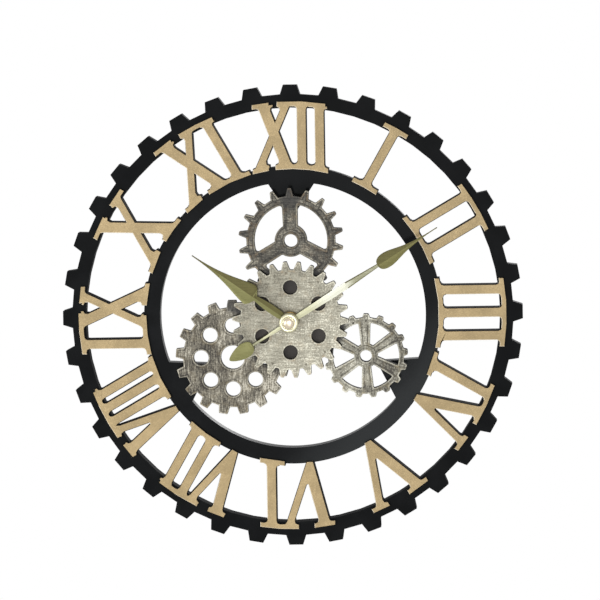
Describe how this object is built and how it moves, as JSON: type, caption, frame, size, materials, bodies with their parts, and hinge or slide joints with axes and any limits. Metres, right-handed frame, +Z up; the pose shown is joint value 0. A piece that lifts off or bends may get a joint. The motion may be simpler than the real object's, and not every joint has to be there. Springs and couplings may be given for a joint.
{
  "type": "gear wall clock",
  "caption": "Round skeleton wall clock: toothed black ring, gold Roman numerals bridging to an inner ring, fixed ornamental gears and leaf hands on a battery quartz movement.",
  "frame": {"origin": "centre of the dial on the wall plane, on the back face of the movement cover behind the hand arbor", "axes": "+Z up towards twelve o'clock, +X towards three o'clock, +Y into the wall, so the dial faces -Y"},
  "size_m": [0.3998, 0.0414, 0.3998],
  "materials": {
    "black_plastic": "satin black paint on moulded plastic",
    "gold_face": "matte tan-gold face on a black moulding",
    "black_plate": "satin black paint",
    "silver_gear": "brushed pale silver",
    "pewter_gear": "aged pewter with worn edges",
    "zinc_steel": "zinc plated",
    "case_plastic": "black moulded plastic",
    "wheel_plastic": "natural white acetal",
    "fixing_brass": "turned brass",
    "rubber_collar": "matte black rubber",
    "cell_sleeve": "plain grey sleeve",
    "board_green": "green lacquer",
    "coil_copper": "lacquered copper winding",
    "magnet_grey": "dark sintered magnet",
    "hand_gold": "olive-gold satin facets",
    "cap_gold": "polished pale gold"
  },
  "bodies": {
    "frame": {"outer_ring": "black_plastic", "inner_ring": "black_plastic", "numeral_I": "gold_face", "numeral_II": "gold_face", "numeral_III": "gold_face", "numeral_IV": "gold_face", "numeral_V": "gold_face", "numeral_VI": "gold_face", "numeral_VII": "gold_face", "numeral_VIII": "gold_face", "numeral_IX": "gold_face", "numeral_X": "gold_face", "numeral_XI": "gold_face", "numeral_XII": "gold_face", "hub_plate": "black_plate", "centre_gear": "silver_gear", "top_gear": "pewter_gear", "left_gear": "pewter_gear", "right_gear": "pewter_gear", "top_gear_post": "zinc_steel", "left_gear_post": "zinc_steel", "right_gear_post": "zinc_steel", "top_post_screw": "zinc_steel", "left_post_screw": "zinc_steel", "right_post_screw": "zinc_steel", "hanger_plate": "zinc_steel", "hanger_screw_left": "zinc_steel", "hanger_screw_right": "zinc_steel", "battery_contact_plus": "zinc_steel", "battery_contact_minus": "zinc_steel", "quartz_crystal": "zinc_steel", "stator": "zinc_steel", "movement_case": "case_plastic", "movement_cover": "case_plastic", "train_plate": "wheel_plastic", "fixing_washer": "fixing_brass", "fixing_nut": "fixing_brass", "spacer_collar": "rubber_collar", "battery": "cell_sleeve", "circuit_board": "board_green", "coil": "coil_copper"},
    "hands_minute": {"minute_arbor": "fixing_brass", "minute_hand": "hand_gold", "cap_nut": "cap_gold"},
    "hands_hour": {"hour_wheel": "wheel_plastic", "hour_hand": "hand_gold"},
    "motion": {"motion_wheel": "wheel_plastic"},
    "knob": {"setting_knob": "case_plastic"},
    "rotor": {"rotor": "magnet_grey"},
    "step": {"step_wheel": "wheel_plastic"},
    "seconds": {"seconds_wheel": "wheel_plastic"},
    "third": {"third_wheel": "wheel_plastic"},
    "centre": {"centre_wheel": "wheel_plastic"}
  },
  "joints": [
    {"name": "minute_turn", "type": "hinge", "parent": "frame", "child": "hands_minute", "pos_m": [0, 0, 0], "axis": [0, 1, 0], "continuous": true},
    {"name": "hour_turn", "type": "hinge", "parent": "frame", "child": "hands_hour", "pos_m": [0, 0, 0], "axis": [0, 1, 0], "continuous": true},
    {"name": "motion_turn", "type": "hinge", "parent": "frame", "child": "motion", "pos_m": [-0.0041, 0, 0.01128], "axis": [0, 1, 0], "continuous": true},
    {"name": "knob_turn", "type": "hinge", "parent": "frame", "child": "knob", "pos_m": [-0.0157, 0, 0.01438], "axis": [0, 1, 0], "continuous": true},
    {"name": "rotor_turn", "type": "hinge", "parent": "frame", "child": "rotor", "pos_m": [0.01521, 0, 0.00826], "axis": [0, 1, 0], "continuous": true},
    {"name": "step_turn", "type": "hinge", "parent": "frame", "child": "step", "pos_m": [0.00811, 0, 0.00568], "axis": [0, 1, 0], "continuous": true},
    {"name": "seconds_turn", "type": "hinge", "parent": "frame", "child": "seconds", "pos_m": [0, 0, 0], "axis": [0, 1, 0], "continuous": true},
    {"name": "third_turn", "type": "hinge", "parent": "frame", "child": "third", "pos_m": [-0.00842, 0, 0.00486], "axis": [0, 1, 0], "continuous": true},
    {"name": "centre_turn", "type": "hinge", "parent": "frame", "child": "centre", "pos_m": [0, 0, 0], "axis": [0, 1, 0], "continuous": true}
  ],
  "couplings": [
    {"joint": "hour_turn", "follows": "minute_turn", "ratio": 0.083333},
    {"joint": "motion_turn", "follows": "minute_turn", "ratio": -0.33333},
    {"joint": "knob_turn", "follows": "minute_turn", "ratio": 1},
    {"joint": "step_turn", "follows": "rotor_turn", "ratio": -0.16667},
    {"joint": "seconds_turn", "follows": "rotor_turn", "ratio": 0.033333},
    {"joint": "third_turn", "follows": "rotor_turn", "ratio": -0.0044444},
    {"joint": "centre_turn", "follows": "rotor_turn", "ratio": 0.00055556}
  ]
}
